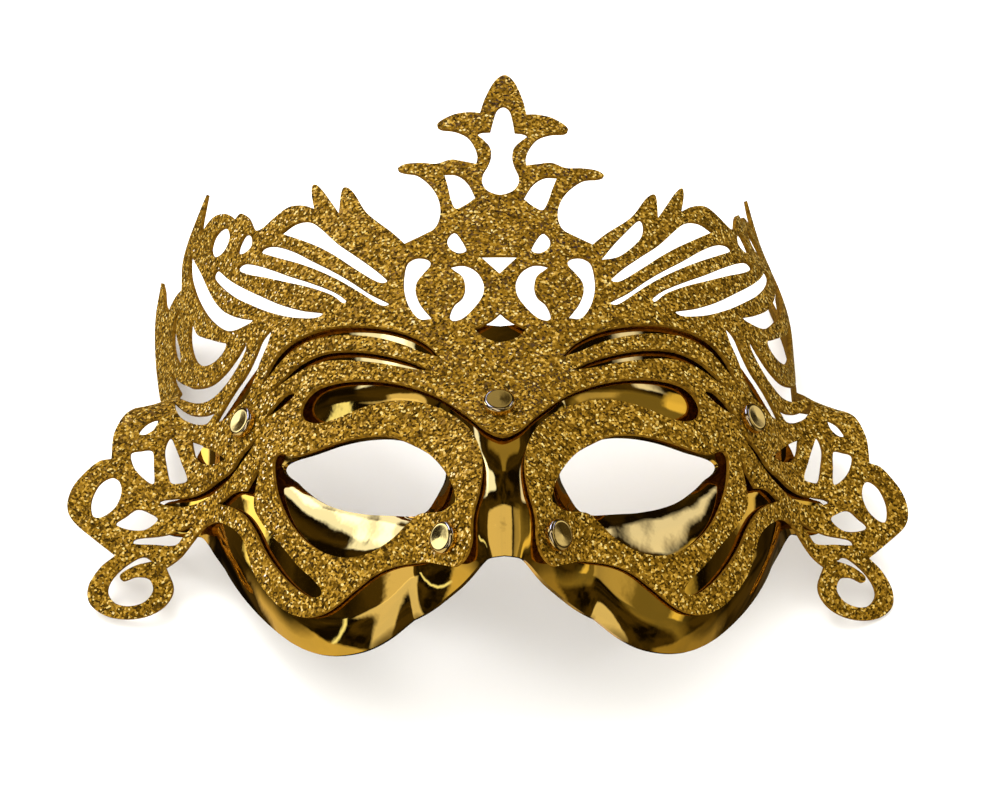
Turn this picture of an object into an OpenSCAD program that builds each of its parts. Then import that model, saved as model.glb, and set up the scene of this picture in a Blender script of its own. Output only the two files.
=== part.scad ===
// Venetian half mask: a glossy moulded face shell with a die-cut filigree sheet riveted over it.
// It lies on its back on a table: +Z is up out of the face, +Y is towards the crown,
// and +X is towards the wearer's left ear, on the right when the mask is looked at.
//
// Both layers follow one curved surface. A point of it is given as the pattern is cut:
// a millimetres across from the middle line and v millimetres up from the middle of the brow,
// measured along the sheet. place(u, v, lift) turns that into a point in space.

/* [Face curve] */
// Degrees the sheet has turned backwards 115 mm from the middle line
wing_turn = 84; // [60:1:95]
// Most that a wing turns backwards, in degrees
wing_turn_max = 76; // [60:1:85]
// How late the turn comes: 1 is a plain arc, more is flatter in front
turn_power = 1.12; // [1:0.02:1.4]
// Degrees that one wing is sprung open and the other closed at their ends
side_splay = 9; // [0:1:15]
// Degrees that the side scrolls are bent back out towards the table
scroll_flare = 58; // [30:1:70]
// Distance across at which that bend starts
flare_start = 79; // [70:1:90]
// Backward slope of the forehead and crown, in degrees
crown_slope = 14; // [0:1:25]
// Forward slope of the face below the eyes, in degrees
cheek_slope = 6; // [0:1:15]
// Degrees that the middle of the crown leans to one side
crown_lean = 2.5; // [0:0.5:6]
// Height of the nose above the face curve
nose_h = 11; // [6:0.5:16]
// Half width of the flat top of the nose
nose_top = 3.5; // [1:0.5:6]
// Half width of the foot of the nose
nose_foot = 22; // [18:0.5:28]

/* [Rest pose] */
// Degrees the mask tips towards its chin when it lies on its back, on its horns and side rings
rest_pitch = 23.5; // [18:0.1:28]
// Degrees it rolls sideways, because one wing is sprung further open
rest_roll = -1.3; // [-3:0.1:3]

/* [Layers] */
// Thickness of the shell
shell_t = 1.1; // [0.8:0.1:2]
// Thickness of the filigree sheet
sheet_t = 1; // [0.6:0.1:1.6]
// Air between the two layers
layer_gap = 0.6; // [0.4:0.1:1.5]
// How far the shell dips under the sheet at the edge of each eye hole
socket_dip = 3.5; // [0:0.5:6]
// How far the ridge of the nose stands proud of the rest of the shell
ridge_h = 0.9; // [0:0.1:2]
// How far the shell's lower edge is rolled back
edge_roll = 3; // [0:0.5:5]
// Width of that roll
edge_roll_w = 9; // [6:1:12]
// How far the brow of the shell is hollowed between the strips of the sheet
brow_dip = 2.4; // [0:0.2:4]

/* [Rivets and strap holes] */
// Diameter of a rivet's cap
cap_d = 7.6; // [6:0.1:10]
// Height of the cap
cap_h = 2.1; // [1.4:0.1:3]
// Radius of the round at the cap's rim
cap_round = 0.9; // [0.4:0.1:1.2]
// Diameter of a rivet's shank
shank_d = 3; // [2:0.1:4]
// Diameter of the cap on the inside of the mask
back_cap_d = 7; // [6:0.1:10]
// Clearance of the shank in the shell, on the diameter
shank_clear = 0.2; // [0.1:0.05:0.6]
// Clearance of the shank in the sheet, on the diameter: the sheet's holes are cut askew
sheet_clear = 0.8; // [0.7:0.05:1.2]
// Distance that a cap stands off the curved surface under it
cap_off = 0.45; // [0.2:0.05:1]
// Forehead rivet, depth below the start of v
forehead_down = 2; // [1:0.1:3]
// Temple rivets, distance across from the middle line
temple_across = 67; // [66:0.1:68.5]
// Temple rivets, height above the start of v
temple_up = 4.5; // [4:0.1:5.4]
// Nose rivets, distance across from the middle line
nose_across = 12; // [11.7:0.1:13]
// Nose rivets, depth below the start of v
nose_down = 35.1; // [34.4:0.1:35.6]
// How far all the rivets sit off the middle line, towards the wearer's right
rivet_shift = 0.7; // [-0.7:0.1:0.8]
// Diameter of the hole in each ear tab that the elastic is tied through
strap_hole_d = 3.5; // [2:0.1:5]
// Strap holes, distance across from the middle line
strap_across = 81.2; // [79:0.2:83]
// Strap holes, depth below the start of v
strap_down = 12.2; // [11.5:0.1:13]

/* [Hidden] */
turn_ref = 115;
flare_run = 22;
steps = 16;
// Straight pieces between two points of an outline
sheet_steps = 1;
shell_steps = 2;
// The sheet is cut as three bands: the middle one reaches this far, the others face this way
band_x = 46;
band_tilt = 58;
band_overlap = 0.02;
back_cap_t = 1.4;
press = 0.06;
hole_r = (shank_d + sheet_clear)/2;
// Where each rivet sits, as (across, up)
function rivet_at(side, across, up) = [side*across - rivet_shift, up];
forehead_rivet = rivet_at(0, 0, -forehead_down);
rivets = [forehead_rivet,
    rivet_at(1, temple_across, temple_up), rivet_at(-1, temple_across, temple_up),
    rivet_at(1, nose_across, -nose_down), rivet_at(-1, nose_across, -nose_down)];
strap_hole = [strap_across, -strap_down];
$fn = 48;
GOLD = [0.85, 0.66, 0.28];
GLITTER = [0.66, 0.5, 0.22];
BRASS = [0.88, 0.74, 0.42];

// ---- the curved surface ----

function ease(lo, hi, x) = let(t = min(1, max(0, (x - lo)/(hi - lo)))) t*t*(3 - 2*t);
function mean(list) = list*[for (x = list) 1]/len(list);

// Turning angle of the sheet at a mm across, on one side (+1 or -1), at height v
function turn(a, side, v) =
    min(wing_turn*pow(a/turn_ref, turn_power), wing_turn_max)
    + side*side_splay*ease(60, turn_ref, a)
    - scroll_flare*(1 - ease(16, 27, v))*ease(flare_start, flare_start + flare_run, a);

// Slope of the face at height v
function slope(v) = -cheek_slope + (crown_slope + cheek_slope)*ease(-30, 15, v);

// The surface itself, before it is set on the table
function face(u, v) = let(
    a = abs(u),
    side = sign(u),
    parts = [for (i = [0.5:1:steps]) i/steps],
    turns = [for (k = parts) turn(a*k, side, v)],
    slopes = [for (k = parts) slope(v*k)],
    out = u*mean([for (t = turns) cos(t)]),
    back = a*mean([for (t = turns) sin(t)]),
    up = v*mean([for (s = slopes) cos(s)]),
    fall = v*mean([for (s = slopes) sin(s)]),
    nose = nose_h*(1 - ease(-30, 8, v))*(1 - ease(nose_top, nose_foot, a)))
    [out + 0, up, nose - back - fall];

function unit(p) = p/norm(p);
function normal(u, v, h = 0.25) =
    unit(cross(face(u + h, v) - face(u - h, v), face(u, v + h) - face(u, v - h)));

// The middle of the crown leans over in its own surface
function lean(u, v) = let(l = crown_lean*ease(35, 75, v)*(1 - ease(30, 60, abs(u))))
    [u*cos(l) + (v - 50)*sin(l), v - u*sin(l)];

// ---- outlines ----

// A smooth closed or open run through its points. A third value of 1 makes a point a corner.
function corner(p) = len(p) == 3;
function flat(p) = [p[0], p[1]];
function hermite(p, q, mp, mq, t) =
    (2*t*t*t - 3*t*t + 1)*p + (t*t*t - 2*t*t + t)*mp + (3*t*t - 2*t*t*t)*q + (t*t*t - t*t)*mq;
function run(points, closed = true, k = sheet_steps) = let(n = len(points), last = closed ? n : n - 1)
    [for (i = [0:last - 1])
        let(p = flat(points[i]), q = flat(points[(i + 1)%n]),
            before = flat(points[closed ? (i + n - 1)%n : max(0, i - 1)]),
            after = flat(points[closed ? (i + 2)%n : min(n - 1, i + 2)]),
            mp = corner(points[i]) ? q - p : (q - before)/2,
            mq = corner(points[(i + 1)%n]) ? q - p : (after - p)/2)
        for (j = [0:k - 1]) hermite(p, q, mp, mq, j/k)];
function mirrored(points) = [for (i = [len(points) - 1:-1:0]) concat([-points[i][0]], [points[i][1]],
    corner(points[i]) ? [1] : [])];

// Half of the sheet's outer edge, from the tip of the crown round to the point over the nose
edge = [
    [2.6, 98.2], [4.8, 92.5], [5.8, 88, 1], [8.5, 88.2], [12, 87.6], [15.2, 85.8], [16.4, 84.2],
    [15.2, 83], [12, 82.4], [8.8, 80.6], [6.8, 77.3], [6, 74], [6.2, 71.6, 1], [9, 72.3], [12.5, 73],
    [16, 71.8], [20, 72.3], [24, 72.2], [25.8, 70.9], [24.2, 69.8], [20.8, 68.8], [17.8, 66],
    [15.6, 62.5], [14.5, 58.5], [14.5, 55], [15.6, 52], [18, 50.4], [23, 48, 1], [26.5, 52],
    [33, 58.5], [37, 65.5], [39.4, 67.6], [40.3, 65.8], [40.6, 60, 1], [43.5, 65], [46.5, 70],
    [48.3, 71.2], [48.6, 68.5], [47.7, 63.6, 1], [51, 65.8], [55.5, 67], [60, 65.4], [64.5, 63.4],
    [67.5, 64.3], [70, 69], [73, 71.6], [75.5, 70.6, 1], [79.5, 74.2], [85, 75.8], [89.5, 74.8],
    [93, 72.4, 1], [92.4, 77.5], [90, 85.3, 1], [96, 79.2], [101.5, 73.8], [104.6, 68.5],
    [104.2, 60.3, 1], [108.5, 60.5], [112.3, 59.2], [115, 57.6, 1], [118.6, 62], [120, 67],
    [122.3, 71, 1], [125.6, 63], [125.6, 54], [123.6, 45.5], [120.8, 38], [117.5, 30.5], [112, 24.5],
    [107.3, 20.6], [106.2, 18], [108.4, 14.6], [110, 10], [110.2, 3.3, 1], [113.5, 2.7], [117, -0.5],
    [119.8, -4.5], [120.8, -9], [119.2, -13], [114, -17.8], [108.3, -22.5, 1], [112, -25.3],
    [114.8, -29.5], [114.6, -33.8], [111, -37], [105.5, -38.4], [100, -37.9], [95.6, -35.4],
    [93.7, -31.5], [95.6, -26.2, 1], [92, -24], [88.5, -20.6], [85.4, -18.2], [81.5, -17.6],
    [77, -18.8], [72, -21.5], [68.4, -25], [66.3, -29.5], [63.8, -35], [59.8, -40.2], [55, -44.8],
    [50.2, -47.5], [45.5, -48.2], [41, -47], [35.5, -43.6], [30, -40.3], [24.5, -38.8], [18.5, -38.8],
    [14, -40.8], [11.2, -42.1], [8.8, -40.6], [7.5, -37.2], [7.2, -31.5], [5.6, -25.5], [4.8, -19.5],
    [5.4, -14], [7.3, -9], [10.2, -5], [14, -1.8], [18.5, 0.6], [24, 1.9], [29.5, 1.9], [35, 0.8],
    [40, -0.6], [45, -1], [48.7, 0.6], [50.1, 3.4], [48.9, 6.6], [45.6, 9], [40, 9.7], [33, 9],
    [26, 7.3], [20, 4.9], [15, 2.1], [11, -1.3], [7.6, -4.8], [4.2, -8.6],
];
tip = [0, 100.6];
point = [0, -10.8];

// Openings across the middle line: one half of each
keyhole = [[0, 90.6], [1.5, 89.4], [2.3, 86.5], [3, 82.3, 1], [5.4, 82], [6.2, 81], [4.6, 79.2],
    [3, 77], [2.6, 74.3], [3.3, 71.4], [4.4, 68.6], [4.4, 65.6], [3, 63.2], [0, 62]];
triangle = [[0, 43.2, 1], [4.8, 43.2, 1], [0, 37.7, 1]];
spade = [[0, 26, 1], [2.2, 23.8], [6.3, 21.2, 1], [3.6, 18.4], [0, 17.2]];

// Openings of one half; the other half has the same ones mirrored
petal = [[14, 68.8, 1], [10.8, 68.4], [8, 65.8], [5.8, 61, 1], [8.2, 58.8], [10.6, 57.7], [11.9, 60.6],
    [12.8, 64.5]];
bead = [[10.8, 50.8], [12.5, 48.8], [12, 45.8], [9.8, 44.1], [7.9, 44.9], [8.9, 48]];
outer_comma = [[19.8, 43.8], [17.2, 42.9], [16.7, 40.8], [18.3, 38.6], [20, 36], [20.3, 33],
    [19.2, 29.5], [16.2, 24.8, 1], [19.4, 25], [21.9, 29], [23.3, 34.5], [23.1, 39.8], [22.2, 42.7]];
inner_comma = [[11.8, 40.3], [8.4, 40.7], [5.4, 38.6], [3.9, 35], [4.2, 31], [6.4, 27.2], [9, 24.4],
    [11.4, 23.8], [12.1, 25.6], [11, 28.8], [9, 31], [8.3, 34], [9, 37], [11, 39]];
plume_1 = [[27.6, 38], [31, 42], [36, 46.8], [41, 51.5], [46, 57.4], [49.3, 60.4], [53.5, 61.2],
    [58, 59.7, 1], [51, 55], [46, 51.5], [41, 47.4], [35.5, 42.3], [30.5, 38], [28.2, 37]];
plume_2 = [[27, 30.8], [32, 34.6], [37, 39.2], [42, 43.4], [48, 48], [54, 52.8], [59.5, 56.2],
    [63.4, 57.2], [64.6, 56], [59, 52.4], [52.5, 48.6], [46, 44.4], [40, 40], [34.5, 35.3], [29, 30.4]];
plume_3 = [[38.2, 33.6], [41.5, 37], [48, 41.3], [55, 45.5], [61, 49.4], [67, 53], [71.6, 55],
    [73.6, 54], [69, 50.6], [62, 47], [55, 43.3], [48, 39.7], [42, 36], [38.9, 32.9]];
plume_4 = [[44.7, 31.4], [51, 33.9], [58, 37.8], [65, 42.7], [71.5, 47.4], [77, 51.9], [81, 55.8],
    [83.6, 57.6], [84.8, 56], [81.3, 51.8], [75, 46], [68.5, 41.2], [61.5, 36.4], [54.5, 32.6],
    [48.5, 30.5], [45.4, 30.2]];
plume_5 = [[98.9, 69.2], [95.2, 65], [91, 59.4], [87.5, 53.8], [83, 47.2], [77.8, 41.8], [72, 38.2],
    [66.7, 35.5], [70.5, 34.7], [75.5, 35.3], [80.5, 38.4], [86, 43.4], [91, 49.4], [95.5, 56.2],
    [98.7, 63]];
plume_6 = [[96, 46.4], [91.8, 40.6], [86, 37], [81, 34.2], [77.1, 32], [78.4, 29.6], [82.5, 28.2],
    [87.5, 29.1], [92.5, 32.6], [95.9, 38.2], [97, 43]];
sliver = [[105.3, 54.2], [108.7, 53.4], [110.1, 49.6], [109.6, 44.5], [107, 39.8], [101.2, 34.6, 1],
    [103.2, 40.8], [106.6, 46.6], [107.4, 51]];
plume_7 = [[69.4, 29.6], [68.9, 27.2], [71.6, 23.3], [76, 19.5], [81.5, 17.3], [87.5, 17.3],
    [93, 19.7], [98.5, 23.7], [103.5, 28.2], [107.5, 32.6], [109.6, 36.4, 1], [104, 31.4], [98, 27.3],
    [91, 23.6], [84, 21.9], [77.5, 23.3], [72.5, 26.6]];
temple_window = [[60, 30.6], [63.2, 28.6], [65.8, 24], [69, 19.6], [74, 15.5], [80.8, 9.4, 1],
    [76.5, 8.9], [72.4, 10.6], [68.5, 12], [65.8, 16], [63.6, 21.4], [61, 26.5]];
plume_8 = [[80.8, 12.8], [86, 13.3], [91, 15.2], [96, 20, 1], [93, 14.4], [89, 11.5], [84.6, 10.2],
    [82, 11.4]];
round_1 = [[82, 70.3], [85.4, 69], [86.8, 65.8], [85.2, 62.8], [82, 61.6], [78.9, 62.8], [77.4, 65.8],
    [78.8, 69]];
round_2 = [[71, 64], [73.2, 61.8], [73.8, 59.2], [71, 58], [68.2, 59.2], [68.4, 62.2]];
round_3 = [[98.9, 14.2], [101.6, 13.3], [103.6, 10.6], [102, 9.7], [99.7, 11.3]];
lobe_1 = [[95.6, 8.6], [96.8, 5.2], [96.2, 0.5], [95, -4.2], [92.4, -4.9], [90.3, -4.2], [92, 0.4],
    [93.8, 5]];
lobe_2 = [[99.9, 5], [103, 5.3], [105.4, 4.6], [104.3, 0.4], [101.8, -2.8], [99.2, -4.4], [99.3, 0]];
fin = [[89.6, 6.6, 1], [85.5, 4.2], [80.5, 1], [75.4, -2.8, 1], [80.5, -2.6], [85.6, -0.8], [88.4, 2]];
side_slot = [[62.6, 0.6, 1], [69, -2.8], [73.5, -6.3], [80, -7.6], [88, -8.8], [96.2, -8.7],
    [97.2, -9.8], [92, -11.2], [85, -11.1], [78, -10], [72.4, -7.9], [66.8, -3.8]];
cheek_slot = [[61.8, -5.8, 1], [64.4, -9.8], [67.6, -13.2, 1], [72.5, -12.3], [78, -13.7, 1],
    [72.5, -16.2], [68, -19.4], [64.2, -24.2], [61, -29.6], [56.5, -35.4], [51.5, -40.4],
    [46.6, -43.6], [43.8, -43.2], [45.6, -40], [50.4, -35.4], [54.6, -30.4], [59, -25.8],
    [62.4, -21.6], [64.4, -17.6], [63.4, -12]];
under_slot = [[87, -15.8, 1], [91.5, -17], [97, -18.1], [103, -18.5], [103.6, -19.8], [98.5, -20.3],
    [93.2, -20.8], [90.8, -18.8]];
diamond = [[97.9, -13.9], [100.4, -11.8], [103.3, -10.9], [106, -12.6], [108.4, -14.4], [105.2, -16.1],
    [101, -16.4]];
ring_1 = [[110, -1.8], [113, -3.6], [114.8, -8], [114.3, -11.9], [111.8, -12.4], [108.6, -10.1],
    [107.2, -6.4], [107.9, -3.2]];
ring_2 = [[99, -24.4, 1], [101.6, -23.2], [105.8, -25.3], [109, -28.4], [110, -31.6], [107.9, -34.4],
    [104.2, -35.3], [100.6, -34.3], [98.7, -31.6], [99.8, -28.8], [103, -28.1], [106.2, -28.9],
    [106.8, -27.2], [103.2, -25.3]];
brow_1 = [[14.4, 13.2, 1], [18, 17.8], [24, 21.8], [32, 24.6], [41, 26.2], [49, 25.8], [55, 23.9],
    [59.6, 20], [63.6, 13.2, 1], [59, 17.4], [54, 21.4], [47, 23.6], [39, 23.2], [31, 21.2],
    [24, 18.2], [18.6, 15]];
brow_2 = [[16.4, 9.4, 1], [22, 13], [29, 16], [36.5, 18.2], [44, 19], [50.5, 17.6], [55.5, 14.7],
    [60.4, 10.8, 1], [54.5, 13.5], [49, 15.7], [42.5, 16.3], [35, 14.8], [28, 12.8], [22, 10.7]];
brow_3 = [[52, 9], [54.4, 9.7], [58, 7.6], [61.6, 4.2, 1], [57, 5.4], [53.2, 7.4]];
eye = [
    [56.4, -6.3], [58.2, -8], [57.8, -13.5], [56, -19], [52.8, -24.8], [48.4, -29.8], [43, -33.6],
    [37, -35.6], [31, -35], [25.8, -32.2], [22, -28.8], [19, -27.2], [14, -28.2], [10.6, -27, 1],
    [11.6, -22.6], [13.6, -18], [16.8, -13.4], [21, -10], [26.5, -7.3], [33, -6.5], [40, -6.9],
    [47, -8], [52.5, -8.1],
];
pairs = [petal, bead, outer_comma, inner_comma, plume_1, plume_2, plume_3, plume_4, plume_5, plume_6, sliver,
    plume_7, temple_window, plume_8, round_1, round_2, round_3, lobe_1, lobe_2, fin, side_slot, cheek_slot,
    under_slot, diamond, ring_1, ring_2, brow_1, brow_2, brow_3, eye];
// One more plume, cut only on the wearer's left
extra_plume = [[25, 43.4, 1], [29.4, 45], [33.4, 49], [36.2, 53.4], [36.6, 57.2], [35.4, 58.4],
    [32, 54], [28.8, 49.4]];

// Outer edge of the shell and, at the same index, the point of the eye hole's edge that faces it
shell_edge = [
    [0, 23, 1], [8, 24], [17, 24.6], [27, 25.3], [37, 26.5], [47, 27], [56, 26], [63, 23.2],
    [69.5, 18.4], [76, 13], [82.5, 8.6], [87.8, 4], [89.9, -1.5], [90.6, -6.6], [92.8, -8.4],
    [96.4, -9.2], [98, -12.6], [96.6, -16.4], [92.4, -18], [88.6, -18.6], [86.6, -20.8], [84.2, -25],
    [80.2, -30.4], [75, -36], [69, -41.7], [62, -47.6], [55, -52.6], [48, -56], [41, -57.4], [34, -57],
    [28, -54.8], [22, -50.9], [16, -47], [10, -43.9], [4.5, -41.6], [0, -41, 1], [0, -33, 1],
    [0, -25, 1], [0, -16, 1], [0, -7, 1], [0, 3, 1], [0, 13, 1],
];
hole_edge = [
    [22, -7.6], [25.4, -5.9], [29, -4.9], [33.4, -4.4], [38, -4.3], [43, -4.6], [47.5, -5.1],
    [51, -5.5], [54.5, -5.9], [57, -6.3], [58.9, -6.9], [59.6, -7.6], [59.5, -8.5], [58.9, -9.5],
    [58.2, -10.2], [57.4, -10.9], [56.6, -11.5], [55.8, -12.1], [55, -12.8], [54.3, -13.5],
    [53.4, -14.4], [52.2, -15.5], [50.5, -16.9], [48.3, -18.6], [45.8, -20.2], [42.8, -21.7],
    [39.8, -22.9], [36.5, -23.9], [33.2, -24.7], [30, -25.2], [26.6, -25.7], [24.5, -26],
    [22.6, -26.2], [21, -26], [19.8, -25], [18.9, -23.5], [17.6, -21], [16.4, -18.4],
    [16, -15.8], [16.8, -13.2], [18.2, -10.9], [19.9, -9.1],
];

// ---- the two layers ----

function place(u, v, lift) = face(u, v) + lift*normal(u, v);

// The finished mask tips and rolls on to the table, and its box is centred on the origin
function laid(p) = let(
    y = p[1]*cos(rest_pitch) - p[2]*sin(rest_pitch),
    z = p[1]*sin(rest_pitch) + p[2]*cos(rest_pitch))
    [p[0]*cos(rest_roll) + z*sin(rest_roll), y, z*cos(rest_roll) - p[0]*sin(rest_roll)];
outermost = [for (s = [-1, 1]) for (l = [-1, 1]) for (p = edge)
    let(q = lean(s*p[0], p[1])) laid(place(q[0], q[1], l*sheet_t/2))];
shell_outermost = [for (s = [-1, 1]) for (p = shell_edge)
    laid(place(s*p[0], p[1], -sheet_t/2 - layer_gap - shell_t))];
every = concat(outermost, shell_outermost);
function middle(i) = (max([for (p = every) p[i]]) + min([for (p = every) p[i]]))/2;
stand = [-middle(0), -middle(1), -min([for (p = every) p[2]])];

module lay() {
    translate(stand) rotate([rest_pitch, rest_roll, 0]) children();
}

// Sheet before it is cut: a plate on a grid of the surface
columns = [4, 8.5, 13, 17.5, 22, 31, 40, 49, 58, 67, 76, 83, 90, 97, 104, 114, 128];
across = concat([for (i = [len(columns) - 1:-1:0]) -columns[i]], [0], columns);
upward = [-50, -38, -30, -22, -14, -6, 4, 16, 19.7, 23.3, 27, 104];

module plate() {
    n = len(across);
    m = len(upward);
    size = n*m;
    points = [for (l = [1, -1]) for (v = upward) for (u = across) place(u, v, l*sheet_t/2)];
    faces = concat(
        // Over the crown every cell is flat, so its last row has whole quads
        [for (j = [0:m - 3]) for (i = [0:n - 2]) let(p = j*n + i)
            for (f = [[p, p + n, p + n + 1], [p, p + n + 1, p + 1]]) f],
        [for (j = [0:m - 3]) for (i = [0:n - 2]) let(p = size + j*n + i)
            for (f = [[p, p + n + 1, p + n], [p, p + 1, p + n + 1]]) f],
        [for (i = [0:n - 2]) let(p = (m - 2)*n + i) [p, p + n, p + n + 1, p + 1]],
        [for (i = [0:n - 2]) let(p = size + (m - 2)*n + i) [p, p + 1, p + n + 1, p + n]],
        [for (i = [0:n - 2]) [i, i + 1, size + i + 1, size + i]],
        [for (i = [0:n - 2]) let(p = (m - 1)*n + i) [p + 1, p, size + p, size + p + 1]],
        [for (j = [0:m - 2]) let(p = j*n) [p + n, p, size + p, size + p + n]],
        [for (j = [0:m - 2]) let(p = j*n + n - 1) [p, p + n, size + p + n, size + p]]);
    polyhedron(points, faces, convexity = 12);
}

// A run of the pattern as it is seen along the direction tilted by tilt degrees
function seen(points, tilt) = [for (p = points)
    let(q = lean(p[0], p[1]), s = face(q[0], q[1])) [s[0]*cos(tilt) - s[2]*sin(tilt), s[1]]];

module pattern(tilt, sides) {
    outline = concat([tip], edge, [point], mirrored(edge));
    half = concat([[0, tip[1], 1], [0.8, 100.3]], edge, [[0.8, -10.6], [0, point[1], 1]]);
    difference() {
        if (sides == 0) polygon(seen(run(outline), tilt));
        else polygon(seen(run([for (p = half) concat([sides*p[0]], [p[1]], corner(p) ? [1] : [])]), tilt));
        for (s = sides == 0 ? [-1, 1] : [sides]) for (h = pairs)
            polygon(seen(run([for (p = h) concat([s*p[0]], [p[1]], corner(p) ? [1] : [])]), tilt));
        if (sides == 0) for (h = [keyhole, triangle, spade])
            polygon(seen(run(concat(h, mirrored([for (i = [1:len(h) - 2]) h[i]]))), tilt));
        if (sides >= 0) polygon(seen(run(extra_plume), tilt));
        for (p = rivets) polygon(seen([for (i = [0:30:330]) p + hole_r*[cos(i), sin(i)]], tilt));
    }
}

// One band of the cut sheet, cut square to the direction in which it faces
module band(side) {
    tilt = side*band_tilt;
    intersection() {
        plate();
        rotate([0, tilt, 0]) translate([0, 0, -130]) linear_extrude(260) pattern(tilt, side);
        if (side == 0) translate([-band_x, -150, -120]) cube([2*band_x, 300, 200]);
        else translate([(side > 0 ? 0 : -200) + side*(band_x - band_overlap), -150, -120])
            cube([200, 300, 200]);
    }
}

// Points of the two curls of the lower side ring, as rounded ends
module curl_ends() {
    for (s = [-1, 1]) for (p = [[102.5, -26.6], [104, -27.1], [105.5, -27.8], [106, -27.9]])
        hull() for (l = [-1, 1]) translate(place(s*p[0], p[1], l*(sheet_t/2 - 0.05)))
            cylinder(r = 0.4, h = 0.1, center = true, $fn = 8);
}

module filigree() color(GLITTER) lay() render(convexity = 12) union() {
    for (s = [-1, 0, 1]) band(s);
    curl_ends();
}

// Shell surface: t runs from the eye hole's edge (0) to the outer edge (1)
function shell_lift(p, t, reach, inner) = let(a = abs(p[0]), v = p[1])
    -(sheet_t/2 + layer_gap)
    - socket_dip*pow(max(0, 1 - t/0.38), 2)
    + ridge_h*(1 - ease(-22, -12, v))*(1 - ease(0, 6, a))
    - edge_roll*pow(max(0, 1 - (1 - t)*reach/edge_roll_w), 2)*(1 - ease(-30, -8, v))*ease(2, 14, a)
    - brow_dip*ease(-14, -3, v)*(1 - ease(-3, 13, v))*ease(6, 20, a)*(1 - ease(50, 62, a))
    - (inner ? shell_t : 0);

module shell_blank() {
    outer = run(shell_edge, k = shell_steps);
    hole = run(hole_edge, k = shell_steps);
    n = len(outer);
    rings = [0, 0.08, 0.17, 0.27, 0.38, 0.5, 0.62, 0.74, 0.87, 1];
    m = len(rings);
    size = n*m;
    points = [for (s = [1, -1]) for (inner = [false, true]) for (t = rings) for (i = [0:n - 1])
        let(p = hole[i] + (outer[i] - hole[i])*t, a = max(0, p[0]))
            place(s*a, p[1], shell_lift(p, t, norm(outer[i] - hole[i]), inner))];
    wall = function (b, k, flip) [for (j = [0:m - 2]) for (i = [0:n - 1])
        let(p = b + j*n + i, q = b + j*n + (i + 1)%n)
        for (f = [[p, q, q + n], [p, q + n, p + n]]) flip ? [f[2], f[1], f[0]] : f];
    rim = function (b, j, flip, skip) [for (i = [0:n - 1])
        let(p = b + j*n + i, q = b + j*n + (i + 1)%n)
        if (!skip || outer[i][0] > 0.01 || outer[(i + 1)%n][0] > 0.01)
            for (f = [[p, q, q + size], [p, q + size, p + size]]) flip ? [f[2], f[1], f[0]] : f];
    faces = concat(
        wall(0, 0, true), wall(size, 0, false),
        rim(0, 0, false, false), rim(0, m - 1, true, true),
        wall(2*size, 0, false), wall(3*size, 0, true),
        rim(2*size, 0, true, false), rim(2*size, m - 1, false, true));
    polyhedron(points, [for (f = faces) f], convexity = 12);
}

// Stands its children on the surface at (u, v), with +Z out of the face
module seat(u, v) {
    n = normal(u, v);
    translate(place(u, v, 0)) rotate([0, acos(n[2]), atan2(n[1], n[0])]) children();
}

module shell() color(GOLD) lay() difference() {
    shell_blank();
    for (p = rivets) seat(p[0], p[1]) cylinder(d = shank_d + shank_clear, h = 16, center = true);
    for (s = [-1, 1]) seat(s*strap_hole[0], strap_hole[1])
        cylinder(d = strap_hole_d, h = 16, center = true);
}

// Front half of a rivet: a button with a rounded rim, and the shank through both layers
module rivet(p) {
    under = sheet_t/2 + cap_off;
    back = sheet_t/2 + layer_gap + shell_t + cap_off;
    r = cap_d/2;
    c = cap_round;
    color(BRASS) lay() seat(p[0], p[1]) {
        translate([0, 0, under]) rotate_extrude() polygon(concat(
            [[0, 0], [r - 0.3, 0], [r, 0.3]],
            [for (i = [0:15:90]) [r - c + c*cos(i), cap_h - c + c*sin(i)]],
            [[0, cap_h]]));
        translate([0, 0, -back - 1]) cylinder(d = shank_d, h = back + 1 + under + cap_h/2);
    }
}

// Back half: a flatter cap pressed on to the end of the shank
module back_cap(p) {
    top = -(sheet_t/2 + layer_gap + shell_t + cap_off);
    color(BRASS) lay() seat(p[0], p[1]) difference() {
        translate([0, 0, top - back_cap_t]) cylinder(d1 = back_cap_d - 1.6, d2 = back_cap_d, h = back_cap_t);
        translate([0, 0, top - back_cap_t + 0.3]) cylinder(d = shank_d + press, h = 4);
    }
}

module all_nodes() {
    shell();
    filigree();
    rivet(rivets[0]);  // rivet_forehead
    rivet(rivets[1]);  // rivet_temple_left
    rivet(rivets[2]);  // rivet_temple_right
    rivet(rivets[3]);  // rivet_nose_left
    rivet(rivets[4]);  // rivet_nose_right
    back_cap(rivets[0]);  // back_forehead
    back_cap(rivets[1]);  // back_temple_left
    back_cap(rivets[2]);  // back_temple_right
    back_cap(rivets[3]);  // back_nose_left
    back_cap(rivets[4]);  // back_nose_right
}

all_nodes();
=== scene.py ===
import bmesh
import bpy
import numpy as np
from mathutils import Matrix, Vector
from mathutils.geometry import delaunay_2d_cdt


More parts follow.
